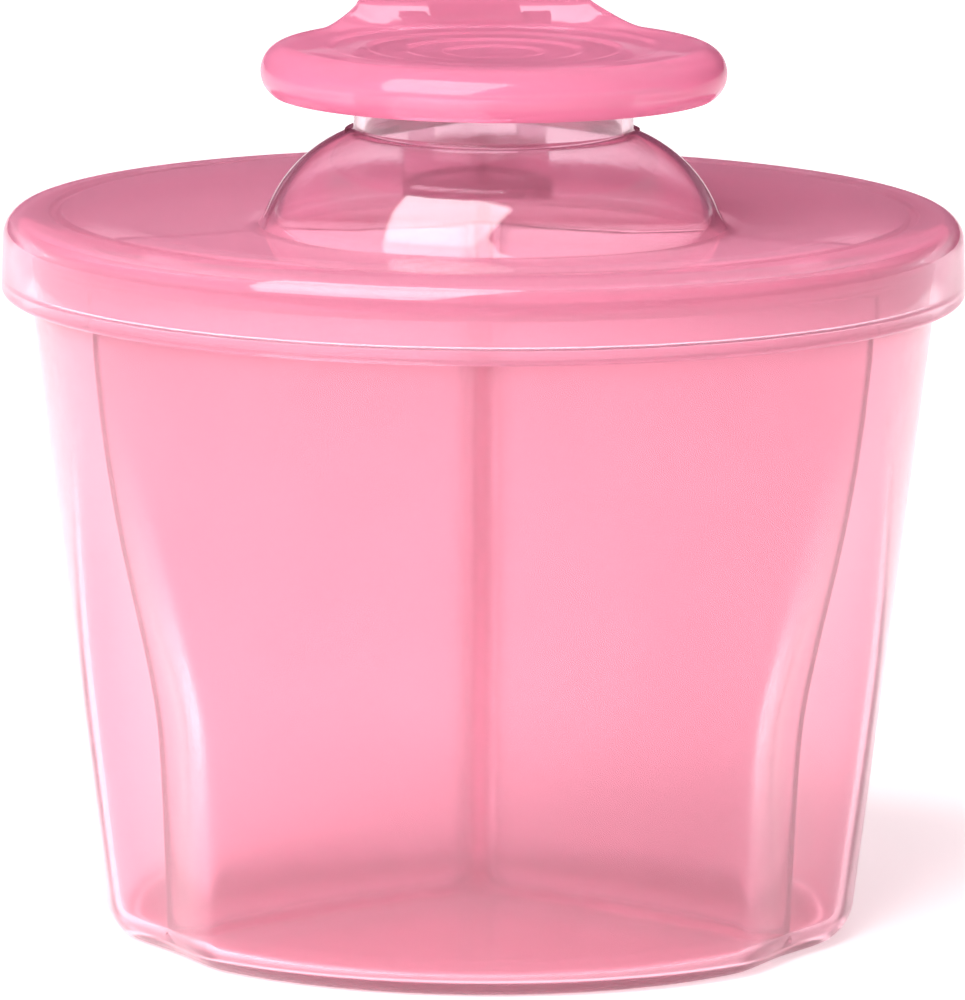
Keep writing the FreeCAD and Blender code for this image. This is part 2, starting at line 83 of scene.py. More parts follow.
def taper(height):
    """Outside of the tub's wall, away from the hollows."""
    along = min(max(height, 0.0), SHOULDER_HEIGHT) / SHOULDER_HEIGHT
    return FOOT_RADIUS + (SHOULDER_RADIUS - FOOT_RADIUS) * along


def hollow_reach(height):
    """Distance from the tub's axis to the middle of a hollow."""
    above = height - HOLLOW_KNEE_HEIGHT
    mean = (HOLLOW_SLOPE_HIGH + HOLLOW_SLOPE_LOW) / 2
    half = (HOLLOW_SLOPE_HIGH - HOLLOW_SLOPE_LOW) / 2
    return HOLLOW_KNEE_REACH + mean * above + half * math.hypot(above, HOLLOW_KNEE_BEND)


def wall_at(angle, height, inset):
    """Radius of the wall's surface in one direction, drawn in by inset from the outside."""
    radius = taper(height) - inset
    tool = HOLLOW_AXIS - hollow_reach(height) + inset
    for middle in WALL_ANGLES:
        off = (angle - middle + math.pi) % (2 * math.pi) - math.pi
        reach = HOLLOW_AXIS * math.sin(off)
        if abs(off) < math.pi / 4 and abs(reach) < tool:
            pressed = HOLLOW_AXIS * math.cos(off) - math.sqrt(tool * tool - reach * reach)
            radius = soft_min(radius, pressed, HOLLOW_EDGE_BLEND)
    return radius


def floor_height(radius):
    """Underside of the domed floor."""
    along = min(radius / FLOOR_REACH, 1.0)
    return FLOOR_RISE * (1 - along * along)


def skin(name, loops, joined_ends=False):
    """Mesh object skinned over loops of points, in millimetres. A loop of one point closes an end."""
    points, starts = [], []
    for loop in loops:
        starts.append(len(points))
        points += [(x * MM, y * MM, z * MM) for x, y, z in loop]
    faces = []
    pairs = list(zip(range(len(loops) - 1), range(1, len(loops))))
    if joined_ends:
        pairs.append((len(loops) - 1, 0))
    for low, high in pairs:
        a, b = starts[low], starts[high]
        count = max(len(loops[low]), len(loops[high]))
        for i in range(count):
            j = (i + 1) % count
            if len(loops[low]) == 1:
                faces.append((a, b + j, b + i))
            elif len(loops[high]) == 1:
                faces.append((a + i, a + j, b))
            else:
                faces.append((a + i, a + j, b + j, b + i))
    mesh = bpy.data.meshes.new(name)
    mesh.from_pydata(points, [], faces)
    mesh.validate()
    obj = bpy.data.objects.new(name, mesh)
    bpy.context.scene.collection.objects.link(obj)
    tidy_faces(obj)
    return obj


def tidy_faces(obj, sharp=40):
    """Faces outwards, smooth-shaded, with creases only at real corners."""
    bpy.ops.object.select_all(action="DESELECT")
    obj.select_set(True)
    bpy.context.view_layer.objects.active = obj
    bpy.ops.object.mode_set(mode="EDIT")
    bpy.ops.mesh.select_all(action="SELECT")
    bpy.ops.mesh.normals_make_consistent(inside=False)
    bpy.ops.object.mode_set(mode="OBJECT")
    bpy.ops.object.shade_smooth_by_angle(angle=math.radians(sharp))


def quarter(steps):
    """Angles across a quarter turn."""
    return [math.pi / 2 * i / steps for i in range(steps + 1)]


def tub_loops():
    """Loops from the middle of the underside, up the outside, over the rim and down into the cavity."""
    angles = [2 * math.pi * i / TUB_STEPS for i in range(TUB_STEPS)]

    def loop(radius, height):
        return [(radius(a) * math.cos(a), radius(a) * math.sin(a), height) for a in angles]

    def flat(radius, height):
        return loop(lambda a: radius, height)

    loops = [[(0, 0, FLOOR_RISE)]]
    for k in range(1, FLOOR_STEPS + 1):
        reach = FLOOR_REACH * k / FLOOR_STEPS
        loops.append(flat(reach, floor_height(reach)))
    for turn in quarter(8):
        height = FOOT_ROUND * (1 - math.cos(turn))
        inset = FOOT_ROUND * (1 - math.sin(turn))
        loops.append(loop(lambda a: wall_at(a, height, 0) - inset, height))
    for k in range(1, WALL_STEPS + 1):
        height = FOOT_ROUND + (SHOULDER_HEIGHT - FOOT_ROUND) * k / WALL_STEPS
        loops.append(loop(lambda a: wall_at(a, height, 0), height))
    # rim: up to the snap bead, over its slope and round its top edges
    bead = RIM_HEIGHT - BEAD_DROP
    for out, height in ((0, bead - BEAD_LEAD), (BEAD_SWELL, bead),
                        (BEAD_REACH - BEAD_SOFT, bead + BEAD_REACH - BEAD_SOFT),
                        (BEAD_REACH, bead + BEAD_REACH + BEAD_SOFT)):
        loops.append(flat(SHOULDER_RADIUS + out, height))
    for turn in quarter(4):
        loops.append(flat(SHOULDER_RADIUS + BEAD_REACH - RIM_ROUND_OUT * (1 - math.cos(turn)),
                          RIM_HEIGHT - RIM_ROUND_OUT * (1 - math.sin(turn))))
    inner = SHOULDER_RADIUS - TUB_WALL
    for turn in quarter(4):
        loops.append(flat(inner + RIM_ROUND_IN * (1 - math.sin(turn)),
                          RIM_HEIGHT - RIM_ROUND_IN * (1 - math.cos(turn))))
    loops.append(flat(inner, SHOULDER_HEIGHT + RIM_STRAIGHT))
    # cavity: down the inside, round the floor's edge and up its dome
    low = TUB_FLOOR + CAVITY_ROUND
    for k in range(WALL_STEPS + 1):
        height = SHOULDER_HEIGHT + (low - SHOULDER_HEIGHT) * k / WALL_STEPS
        loops.append(loop(lambda a: wall_at(a, height, TUB_WALL), height))
    for turn in quarter(7)[1:]:
        height = low - CAVITY_ROUND * math.sin(turn)
        inset = TUB_WALL + CAVITY_ROUND * (1 - math.cos(turn))
        loops.append(loop(lambda a: wall_at(a, height, TUB_WALL) - inset + TUB_WALL, height))
    for k in range(FLOOR_STEPS - 1, 0, -1):
        reach = CAVITY_FLOOR_REACH * k / FLOOR_STEPS
        loops.append(flat(reach, floor_height(reach) + TUB_FLOOR))
    loops.append([(0, 0, FLOOR_RISE + TUB_FLOOR)])
    return loops


def link_in(material, kind, label, **values):
    """A shader node with its unlinked sockets set."""
    node = material.node_tree.nodes.new(kind)
    node.label = label
    for socket, value in values.items():
        node.inputs[socket.replace("_", " ")].default_value = value
    return node


DEEPER_TINT = 1.12            # power that deepens the tint, and the haze's colour, along the flow marks
DEEPER_HAZE = 1.1
SCUFF_DULLING = 0.06
HAZE_SENT_BACK = 0.5
POLISHED_HAZE = 0.3           # share of the haze that is left where the tool was polished
POLISH_FADE = 2
PIGMENT = (0.99, 0.05, 0.40, 1)


def tinted_plastic(name, tint, haze, gloss, haze_tint, depth, polished_from=None):
    """Clear polypropylene: tinted, a little milky, with flow marks, fine scuffs and a soft orange peel.

    depth is how fast the colour deepens along a long way through the plastic, per metre. Above the
    height polished_from the tool was polished, and the plastic comes out clearer.
    """
    material = bpy.data.materials.new(name)
    material.use_nodes = True
    nodes, links = material.node_tree.nodes, material.node_tree.links
    nodes.clear()
    out = nodes.new("ShaderNodeOutputMaterial")
    place = nodes.new("ShaderNodeTexCoord")
    clear = link_in(material, "ShaderNodeBsdfPrincipled", "clear plastic", IOR=1.49)
    clear.inputs["Transmission Weight"].default_value = 1.0
    milky = link_in(material, "ShaderNodeBsdfTranslucent", "haze scattered onwards")
    chalky = link_in(material, "ShaderNodeBsdfDiffuse", "haze scattered back")
    scatter = nodes.new("ShaderNodeMixShader")
    blend = nodes.new("ShaderNodeMixShader")
    # flow marks: the tint runs a little deeper along the flow of the moulding
    flow = link_in(material, "ShaderNodeTexNoise", "flow marks", Scale=38.0, Detail=3.0, Distortion=0.6)
    tint_ramp = nodes.new("ShaderNodeValToRGB")
    tint_ramp.color_ramp.elements[0].position = 0.35
    tint_ramp.color_ramp.elements[1].position = 0.7
    deep = [c ** DEEPER_TINT for c in tint]
    tint_ramp.color_ramp.elements[0].color = (*deep, 1)
    tint_ramp.color_ramp.elements[1].color = (*tint, 1)
    haze_ramp = nodes.new("ShaderNodeValToRGB")
    haze_ramp.color_ramp.elements[0].color = (*[c ** DEEPER_HAZE for c in haze_tint], 1)
    haze_ramp.color_ramp.elements[1].color = (*haze_tint, 1)
    # scuffs: small patches where handling has dulled the gloss
    scuff = link_in(material, "ShaderNodeTexNoise", "scuffs", Scale=240.0, Detail=6.0, Roughness=0.7)
    dull = link_in(material, "ShaderNodeMapRange", "gloss range")
    dull.inputs["From Min"].default_value = 0.45
    dull.inputs["From Max"].default_value = 0.75
    dull.inputs["To Min"].default_value = gloss
    dull.inputs["To Max"].default_value = gloss + SCUFF_DULLING
    # orange peel: the slight waviness of a moulded skin
    peel = link_in(material, "ShaderNodeTexNoise", "orange peel", Scale=420.0, Detail=2.0)
    bump = link_in(material, "ShaderNodeBump", "skin", Strength=0.06, Distance=0.00012)
    for texture in (flow, scuff, peel):
        links.new(place.outputs["Object"], texture.inputs["Vector"])
    links.new(flow.outputs["Fac"], tint_ramp.inputs["Fac"])
    links.new(flow.outputs["Fac"], haze_ramp.inputs["Fac"])
    links.new(tint_ramp.outputs["Color"], clear.inputs["Base Color"])
    links.new(haze_ramp.outputs["Color"], milky.inputs["Color"])
    links.new(haze_ramp.outputs["Color"], chalky.inputs["Color"])
    links.new(scuff.outputs["Fac"], dull.inputs["Value"])
    links.new(dull.outputs["Result"], clear.inputs["Roughness"])
    links.new(peel.outputs["Fac"], bump.inputs["Height"])
    links.new(bump.outputs["Normal"], clear.inputs["Normal"])
    links.new(bump.outputs["Normal"], milky.inputs["Normal"])
    links.new(bump.outputs["Normal"], chalky.inputs["Normal"])
    blend.inputs["Fac"].default_value = haze
    if polished_from:
        split = nodes.new("ShaderNodeSeparateXYZ")
        clearing = link_in(material, "ShaderNodeMapRange", "polished part")
        clearing.inputs["From Min"].default_value = polished_from * MM
        clearing.inputs["From Max"].default_value = (polished_from + POLISH_FADE) * MM
        clearing.inputs["To Min"].default_value = haze
        clearing.inputs["To Max"].default_value = haze * POLISHED_HAZE
        links.new(place.outputs["Object"], split.inputs["Vector"])
        links.new(split.outputs["Z"], clearing.inputs["Value"])
        links.new(clearing.outputs["Result"], blend.inputs["Fac"])
    links.new(clear.outputs["BSDF"], blend.inputs[1])
    scatter.inputs["Fac"].default_value = HAZE_SENT_BACK
    links.new(milky.outputs["BSDF"], scatter.inputs[1])
    links.new(chalky.outputs["BSDF"], scatter.inputs[2])
    links.new(scatter.outputs["Shader"], blend.inputs[2])
    links.new(blend.outputs["Shader"], out.inputs["Surface"])
    body = link_in(material, "ShaderNodeVolumeAbsorption", "depth of colour", Density=depth)
    body.inputs["Color"].default_value = PIGMENT
    links.new(body.outputs["Volume"], out.inputs["Volume"])
    return material


tub = skin("tub_moulding", tub_loops())
tub.data.materials.append(tinted_plastic("tub_plastic", tint=(0.98, 0.67, 0.745), haze=0.11, gloss=0.10,
                                         haze_tint=(0.985, 0.50, 0.64), depth=22))
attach(tub, "tub")
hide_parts("tub")

# ---------------------------------------------------------------- divider
# The divider is one loose moulding in the tub's plastic that makes three compartments. Its three upright
# walls meet in a rounded hub, their ends follow the tub's wall and its hollows with a little play, and
# their top outer corners are notched to let the lid's seal ring pass.

DIVIDER_HALF = 1.15
DIVIDER_PLAY = 0.35
DIVIDER_TOP = 87.2
NOTCH_RADIUS = 51.65
NOTCH_HEIGHT = 83.3
HUB_RADIUS = 1.25
HUB_MIDDLE = 2.1              # the sweep out of the hub, in hub radii: its middle, reach and swell
HUB_SWEEP = 1.15
HUB_SWELL = 0.55
HUB_TURN = 0.9
HUB_STEP_OUT = 0.3
ARM_STEPS = 24
END_STEPS = 6
HUB_STEPS = 4
FOOT_SWELL = 0.75             # the walls are thicker at their foot, over this share of their height
FOOT_SHARE = 0.03
TOP_SOFTENING = {0.997: 0.12, 1.0: 0.35}     # share of the height, and how far the edge is drawn in


def arm_end(height):
    """Radius where a divider wall ends at a height."""
    reach = wall_at(WALL_ANGLES[0], height, TUB_WALL) - DIVIDER_PLAY
    return min(reach, NOTCH_RADIUS) if height > NOTCH_HEIGHT else reach


def divider_loops():
    """Level loops round all three walls, from the divider's foot, which follows the floor, to its top."""
    heights = [0.0, 0.004, 0.014, FOOT_SHARE] + [0.05 + 0.9 * k / 50 for k in range(50)]
    notch = (NOTCH_HEIGHT - TUB_FLOOR) / (DIVIDER_TOP - TUB_FLOOR)
    heights = [t for t in heights if t < notch - 0.004] + [notch - 0.002, notch, notch + 0.001]
    heights += [0.975, 0.992, 0.997, 1.0]
    loops = []
    for t in heights:
        middle = TUB_FLOOR + FLOOR_RISE + (DIVIDER_TOP - TUB_FLOOR - FLOOR_RISE) * t
        slim = TOP_SOFTENING.get(t, 0.0)
        thick = FOOT_SWELL * max(0.0, 1 - t / FOOT_SHARE) ** 2
        half = DIVIDER_HALF - slim + thick
        end = arm_end(middle) - slim - half
        if t == notch:
            end = NOTCH_RADIUS - half
        loop = []
        for arm in WALL_ANGLES:
            side = []
            hub = HUB_RADIUS + thick
            for k in range(HUB_STEPS + 1):      # concave sweep out of the hub
                turn = math.pi / 3 * (1 - k / HUB_STEPS)
                side.append((hub * HUB_MIDDLE - hub * HUB_SWEEP * math.cos(turn * HUB_TURN)
                             + HUB_STEP_OUT * k,
                             half + (hub * HUB_SWELL) * (math.sin(turn * HUB_TURN) ** 2)))
            root = side[HUB_STEPS][0]
            for k in range(1, ARM_STEPS + 1):
                side.append((root + (end - root) * k / ARM_STEPS, half))
            tip = [(end + half * math.sin(turn), half * math.cos(turn)) for turn in quarter(END_STEPS)[1:]]
            outline = [(x, -y) for x, y in side] + [(x, -y) for x, y in tip]
            outline += [(x, y) for x, y in reversed(tip[:-1])] + [(x, y) for x, y in reversed(side)]
            for x, y in outline:
                px = x * math.cos(arm) - y * math.sin(arm)
                py = x * math.sin(arm) + y * math.cos(arm)
                base = floor_height(math.hypot(x, y)) + TUB_FLOOR + DIVIDER_PLAY
                loop.append((px, py, base + (DIVIDER_TOP - base) * t))
        loops.append(loop)
    return loops


def close_star(obj, count):
    """Closes the top and the bottom of the divider with strips across each wall."""
    mesh = obj.data
    per_arm = count // 3
    verts = len(mesh.vertices)
    faces = [tuple(p.vertices) for p in mesh.polygons]
    for start, flip in ((0, True), (verts - count, False)):
        hub = []
        for arm in range(3):
            first = start + arm * per_arm
            last = first + per_arm - 1
            for k in range(per_arm // 2 - 1):
                face = (first + k, first + k + 1, last - k - 1, last - k)
                faces.append(face[::-1] if flip else face)
            middle = first + per_arm // 2       # the wall's tip, a single point
            face = (middle - 1, middle, middle + 1)
            faces.append(face[::-1] if flip else face)
            hub += [first, last]
        faces.append(tuple(hub[::-1]) if flip else tuple(hub))
    points = [v.co.copy() for v in mesh.vertices]
    mesh.clear_geometry()
    mesh.from_pydata(points, [], faces)
    mesh.validate()
    tidy_faces(obj)


divider_shape = divider_loops()
divider = skin("divider_insert", divider_shape)
close_star(divider, len(divider_shape[0]))
divider.data.materials.append(tinted_plastic("divider_plastic", tint=(0.995, 0.88, 0.93), haze=0.14,
                                             gloss=0.14, haze_tint=(0.98, 0.58, 0.70), depth=13))
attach(divider, "divider")
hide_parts("divider")

# ---------------------------------------------------------------- lid
# The lid is one glossy moulding in clear tinted polypropylene that snaps over the tub's rim and turns on
# it. A seal ring stands down inside the rim, and the spout, a bell with a short neck, rises off-centre
# over one compartment.

LID_TURN = math.radians(4.5)      # how far the lid rests turned to the right
LID_TOP = 89.4
LID_UNDER = 87.6
SPOUT_OFFSET = 14.0
BELL_RADIUS = 28.2
BELL_HEIGHT = 11.6
BELL_CURVE = 17.6
BELL_WALL = 1.3
BELL_STEPS = 14
BELL_SLANT = 0.35             # the bell's inside meets the neck lower by this share of its wall
NECK_RADIUS = 17.0
NECK_TOP = 107.9
SKIRT_BOTTOM = 78.9
SKIRT_LOW_RADIUS = 59.19
SKIRT_HIGH_RADIUS = 58.89
SKIRT_BORE = 57.2
LIP_RADIUS = 56.65            # snap lip inside the skirt's lower edge
LIP_LEAD_RADIUS = 56.9
LIP_LOW = 80.5
LIP_HIGH = 81.1
EDGE_FALL = 0.45              # the lid's top falls this much towards its edge
EDGE_ROUND = 3.2
CROWN_RADIUS = 53.0
CROWN_ROUND = 60
FLAT_RADIUS = 46.0            # inside this radius the top is flat
SEAL_RADIUS = 53.15
SEAL_BORE = 51.95
SEAL_BOTTOM = 83.6
BELL_FOOT_REACH = 0.9         # hollow round between the lid's top and the bell
BELL_MOUTH_ROUND = 0.4
PLATE_STEPS = 10
LID_STEPS = 288


def soft_outline(corners, steps=6):
    """Open outline of (radius, height) points from (radius, height, round) corners."""
    points = []
    for k, (x, z, bend) in enumerate(corners):
        here = Vector((x, z))
        if bend == 0 or k in (0, len(corners) - 1):
            points.append((x, z))
            continue
        back = (Vector(corners[k - 1][:2]) - here).normalized()
        ahead = (Vector(corners[k + 1][:2]) - here).normalized()
        opening = back.angle(ahead)
        run = bend / math.tan(opening / 2)
        centre = here + (back + ahead).normalized() * (bend / math.sin(opening / 2))
        first, last = here + back * run - centre, here + ahead * run - centre
        sweep = first.angle_signed(last)
        for i in range(steps + 1):
            turn = -sweep * i / steps
            points.append((centre.x + first.x * math.cos(turn) - first.y * math.sin(turn),
                           centre.y + first.x * math.sin(turn) + first.y * math.cos(turn)))
    return points


def bell_side(inset):
    """Curved side of the bell, from its foot up to the neck, drawn in by inset."""
    foot = Vector((BELL_RADIUS - inset, LID_TOP))
    top = Vector((NECK_RADIUS - inset, LID_TOP + BELL_HEIGHT - inset * BELL_SLANT))
    half = (top - foot) / 2
    curve = BELL_CURVE - inset
    drop = math.sqrt(curve * curve - half.length_squared)
    centre = foot + half + Vector((-half.y, half.x)).normalized() * drop
    start = math.atan2(foot.y - centre.y, foot.x - centre.x)
    finish = math.atan2(top.y - centre.y, top.x - centre.x)
    turns = [start + (finish - start) * k / BELL_STEPS for k in range(BELL_STEPS + 1)]
    return [(centre.x + curve * math.cos(turn), centre.y + curve * math.sin(turn)) for turn in turns]


def turned_lid(x, y, z):
    """A point of the lid, carried round to its rest place."""
    return (x * math.cos(LID_TURN) - y * math.sin(LID_TURN),
            x * math.sin(LID_TURN) + y * math.cos(LID_TURN), z)


def round_loop(radius, height, offset, steps=LID_STEPS):
    """A ring of the lid or cap whose centre lies offset to the front."""
    return [turned_lid(radius * math.cos(a), radius * math.sin(a) - offset, height)
            for a in [2 * math.pi * k / steps for k in range(steps)]]


# outlines as (radius, height), or (radius, height, round) where the corners are still to be rounded
outside = soft_outline([(LIP_LEAD_RADIUS, SKIRT_BOTTOM, 0), (SKIRT_LOW_RADIUS, SKIRT_BOTTOM, 0.9),
                        (SKIRT_HIGH_RADIUS, LID_TOP - EDGE_FALL, EDGE_ROUND),
                        (CROWN_RADIUS, LID_TOP, CROWN_ROUND), (FLAT_RADIUS, LID_TOP, 0)], 8)
bell_foot = [(BELL_RADIUS + BELL_FOOT_REACH, LID_TOP), (BELL_RADIUS + 0.3, LID_TOP + 0.12),
             (BELL_RADIUS - 0.12, LID_TOP + 0.7)]
bell_out = bell_foot + bell_side(0)[2:-1]
neck = soft_outline([(*bell_side(0)[-2], 0), (NECK_RADIUS, LID_TOP + BELL_HEIGHT, 0.8),
                     (NECK_RADIUS, NECK_TOP, 0.45), (NECK_RADIUS - BELL_WALL, NECK_TOP, 0.45),
                     (NECK_RADIUS - BELL_WALL, LID_TOP + BELL_HEIGHT - 0.45, 0.8),
                     (*bell_side(BELL_WALL)[-2], 0)])[1:-1]
bell_in = list(reversed(bell_side(BELL_WALL)[:-1]))
bell_in += [(BELL_RADIUS - BELL_WALL, LID_UNDER + BELL_MOUTH_ROUND),
            (BELL_RADIUS - BELL_WALL + BELL_MOUTH_ROUND, LID_UNDER)]
inside = soft_outline([(FLAT_RADIUS, LID_UNDER, 0), (SEAL_BORE, LID_UNDER, 0.4),
                       (SEAL_BORE, SEAL_BOTTOM, 0.4), (SEAL_RADIUS, SEAL_BOTTOM, 0.5),
                       (SEAL_RADIUS, LID_UNDER, 0.4),
                       (SKIRT_BORE, LID_UNDER, 1.2), (SKIRT_BORE, LIP_HIGH, 0.3), (LIP_RADIUS, LIP_LOW, 0.3),
                       (LIP_RADIUS, SKIRT_BOTTOM, 0.5), (LIP_LEAD_RADIUS, SKIRT_BOTTOM, 0)], 4)[:-1]
lid_loops = [round_loop(r, z, 0) for r, z in outside]
for k in range(1, PLATE_STEPS):
    along = k / PLATE_STEPS
    lid_loops.append(round_loop(FLAT_RADIUS + (BELL_RADIUS + BELL_FOOT_REACH - FLAT_RADIUS) * along, LID_TOP,
                                SPOUT_OFFSET * along))
lid_loops += [round_loop(r, z, SPOUT_OFFSET) for r, z in bell_out + neck + bell_in]
mouth = BELL_RADIUS - BELL_WALL + BELL_MOUTH_ROUND
for k in range(1, PLATE_STEPS):
    along = 1 - k / PLATE_STEPS
    lid_loops.append(round_loop(FLAT_RADIUS + (mouth - FLAT_RADIUS) * along, LID_UNDER, SPOUT_OFFSET * along))
lid_loops += [round_loop(r, z, 0) for r, z in inside]
lid = skin("lid_moulding", lid_loops, joined_ends=True)
lid_plastic = tinted_plastic("lid_plastic", tint=(1.0, 0.91, 0.955), haze=0.27, gloss=0.05,
                             haze_tint=(0.998, 0.49, 0.64), depth=6, polished_from=LID_TOP)
lid.data.materials.append(lid_plastic)
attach(lid, "lid")
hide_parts("lid")

# ---------------------------------------------------------------- webs and shelf in the spout
# Two webs and a shelf close the bell off over the other two compartments, so that only the front sector is
# open up to the neck. They are thin plates of the lid's own plastic, moulded in one with the bell.

WEB_WALL = 1.2
WEB_MARGIN = 1.65             # from the plane of a divider wall to a web's far face
WEB_ANGLE = math.radians(60)
WEB_SINK = 0.35               # the plates run this far into the bell's wall
WEB_TOP_GAP = 0.4
WEB_STEPS = 12
SHELF_TOP = LID_TOP + BELL_HEIGHT
SHELF_SINK = 0.3
SHELF_DROP = 0.05
SHELF_STEPS = 40


def bell_bore(height):
    """Inside radius of the bell at a height."""
    side = bell_side(BELL_WALL)
    if height <= side[0][1]:
        return side[0][0]
    for (r0, z0), (r1, z1) in zip(side, side[1:]):
        if height <= z1:
            return r0 + (r1 - r0) * (height - z0) / (z1 - z0)
    return side[-1][0]


def reach_in_bell(start, direction, height):
    """Distance from a point to the bell's inside along a level direction, in the lid's own frame."""
    x, y = start[0], start[1] + SPOUT_OFFSET
    along = x * direction[0] + y * direction[1]
    bore = bell_bore(height) + WEB_SINK
    return -along + math.sqrt(max(along * along - x * x - y * y + bore * bore, 0.0))


def web_loops(side):
    """One web: a plate on the line of a divider wall, from the apex out to the bell."""
    heading = (side * math.sin(WEB_ANGLE), -math.cos(WEB_ANGLE))
    loops = []
    for k in range(WEB_STEPS + 1):
        height = LID_UNDER + (SHELF_TOP - WEB_TOP_GAP - LID_UNDER) * k / WEB_STEPS
        loop = []
        for off in (WEB_MARGIN - WEB_WALL, WEB_MARGIN):
            # both faces start where they meet the tub's middle plane
            start = (0.0, -off / math.sin(WEB_ANGLE))
            far = reach_in_bell(start, heading, height)
            near = (start, (start[0] + heading[0] * far, start[1] + heading[1] * far))
            loop += near if off < WEB_MARGIN else near[::-1]
        loops.append([turned_lid(x, y, height) for x, y in loop])
    return loops


def flat_ends(obj, count):
    """Closes the first and last loop of a skinned object with one face each."""
    mesh = obj.data
    points = [v.co.copy() for v in mesh.vertices]
    faces = [tuple(p.vertices) for p in mesh.polygons]
    faces += [tuple(range(count - 1, -1, -1)), tuple(range(len(points) - count, len(points)))]
    mesh.clear_geometry()
    mesh.from_pydata(points, [], faces)
    mesh.validate()
    tidy_faces(obj)
    return obj


def shelf_loops():
    """The shelf: the part of the neck's base behind the two webs."""
    edge = bell_bore(SHELF_TOP - WEB_WALL) + SHELF_SINK
    lead = -WEB_MARGIN / math.sin(WEB_ANGLE)
    outline = [(0.0, lead)]
    ends = []
    for side in (1, -1):
        heading = (side * math.sin(WEB_ANGLE), -math.cos(WEB_ANGLE))
        far = reach_in_bell((0.0, lead), heading, SHELF_TOP - WEB_WALL)
        ends.append(math.atan2(lead + heading[1] * far + SPOUT_OFFSET, heading[0] * far))
    first, last = ends[0], ends[1] + (2 * math.pi if ends[1] < ends[0] else 0)
    for k in range(SHELF_STEPS + 1):
        a = first + (last - first) * k / SHELF_STEPS
        outline.append((edge * math.cos(a), edge * math.sin(a) - SPOUT_OFFSET))
    return [[turned_lid(x, y, z) for x, y in outline]
            for z in (SHELF_TOP - WEB_WALL, SHELF_TOP - SHELF_DROP)]


inside_parts = [flat_ends(skin("lid_web_right", web_loops(1)), 4),
                flat_ends(skin("lid_web_left", web_loops(-1)), 4)]
shelf_shape = shelf_loops()
inside_parts.append(flat_ends(skin("lid_shelf", shelf_shape), len(shelf_shape[0])))
for part in inside_parts:
    part.data.materials.append(lid_plastic)
    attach(part, "lid")

# ---------------------------------------------------------------- hinge foot and lugs
# The lid's half of the hinge is a foot behind the bell with two cheeks on it, in one with the lid. The real
# cheeks have holes that the cap's pegs snap into; here they are solid, and the pegs fill the holes' place.

HINGE_Y = 17.0
HINGE_HEIGHT = 105.5
KNUCKLE_RADIUS = 2.6
KNUCKLE_HALF = 5.7
LUG_GAP = 0.3
LUG_WIDTH = 3.6
POST_TOP = 96.0
POST_SOFT = 0.25
POST_HEAD = 2.9               # how far the foot's head, shoulder and base lie in front of the hinge's axis
POST_SHOULDER = 4.4
POST_BASE = 7.2
FOOT_SINK = 0.6               # the foot runs this far into the lid, and the cheeks into the foot
CHEEK_SINK = 0.7
EDGE_SOFT_SHARE = 0.3
HINGE_ARC = 10


def side_plate(name, outline, left, right, soft=0.35):
    """Plate across the hinge from an outline of (y, z) points, its edges softened, in the lid's frame."""
    middle = (sum(y for y, _ in outline) / len(outline), sum(z for _, z in outline) / len(outline))
    loops = []
    nip = soft * EDGE_SOFT_SHARE
    for x, inset in ((left, soft), (left + nip, nip), (left + soft, 0.0),
                     (right - soft, 0.0), (right - nip, nip), (right, soft)):
        loop = []
        for y, z in outline:
            run = math.hypot(y - middle[0], z - middle[1])
            loop.append(turned_lid(x, middle[0] + (y - middle[0]) * (1 - inset / run),
                                   middle[1] + (z - middle[1]) * (1 - inset / run)))
        loops.append(loop)
    return flat_ends(skin(name, loops), len(outline))


def ring_arc(radius, start, finish, steps=HINGE_ARC):
    """Points of an arc round the hinge's axis, angles in degrees from straight back."""
    turns = [math.radians(start + (finish - start) * k / steps) for k in range(steps + 1)]
    return [(HINGE_Y + radius * math.cos(t), HINGE_HEIGHT + radius * math.sin(t)) for t in turns]


foot_outline = [(HINGE_Y + KNUCKLE_RADIUS, LID_TOP - FOOT_SINK),
                (HINGE_Y + KNUCKLE_RADIUS, POST_TOP - POST_SOFT),
                (HINGE_Y + KNUCKLE_RADIUS - POST_SOFT, POST_TOP), (HINGE_Y - POST_HEAD, POST_TOP - 0.15),
                (HINGE_Y - POST_SHOULDER, POST_TOP - 2), (HINGE_Y - POST_BASE, LID_TOP - FOOT_SINK)]
lug_span = KNUCKLE_HALF + LUG_GAP + LUG_WIDTH
hinge_parts = [side_plate("hinge_foot", foot_outline, -lug_span, lug_span)]
cheek = [(HINGE_Y - KNUCKLE_RADIUS, POST_TOP - CHEEK_SINK), (HINGE_Y + KNUCKLE_RADIUS, POST_TOP - CHEEK_SINK)]
cheek += ring_arc(KNUCKLE_RADIUS, 0, 180)
for label, left in (("left", -lug_span), ("right", KNUCKLE_HALF + LUG_GAP)):
    hinge_parts.append(side_plate("hinge_lug_" + label, cheek, left, left + LUG_WIDTH))
hinge_plastic = tinted_plastic("hinge_plastic", tint=(1.0, 0.86, 0.93), haze=0.22, gloss=0.08,
                               haze_tint=(0.99, 0.50, 0.66), depth=6)
for part in hinge_parts:
    part.data.materials.append(hinge_plastic)
    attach(part, "lid")

# ---------------------------------------------------------------- flip cap
# The cap is one moulding in tinted polypropylene, milkier than the rest: a hollow disc with a soft rim, a
# dished top stepped in rings and a plug ring that closes the neck. A bar across its back carries the hinge.

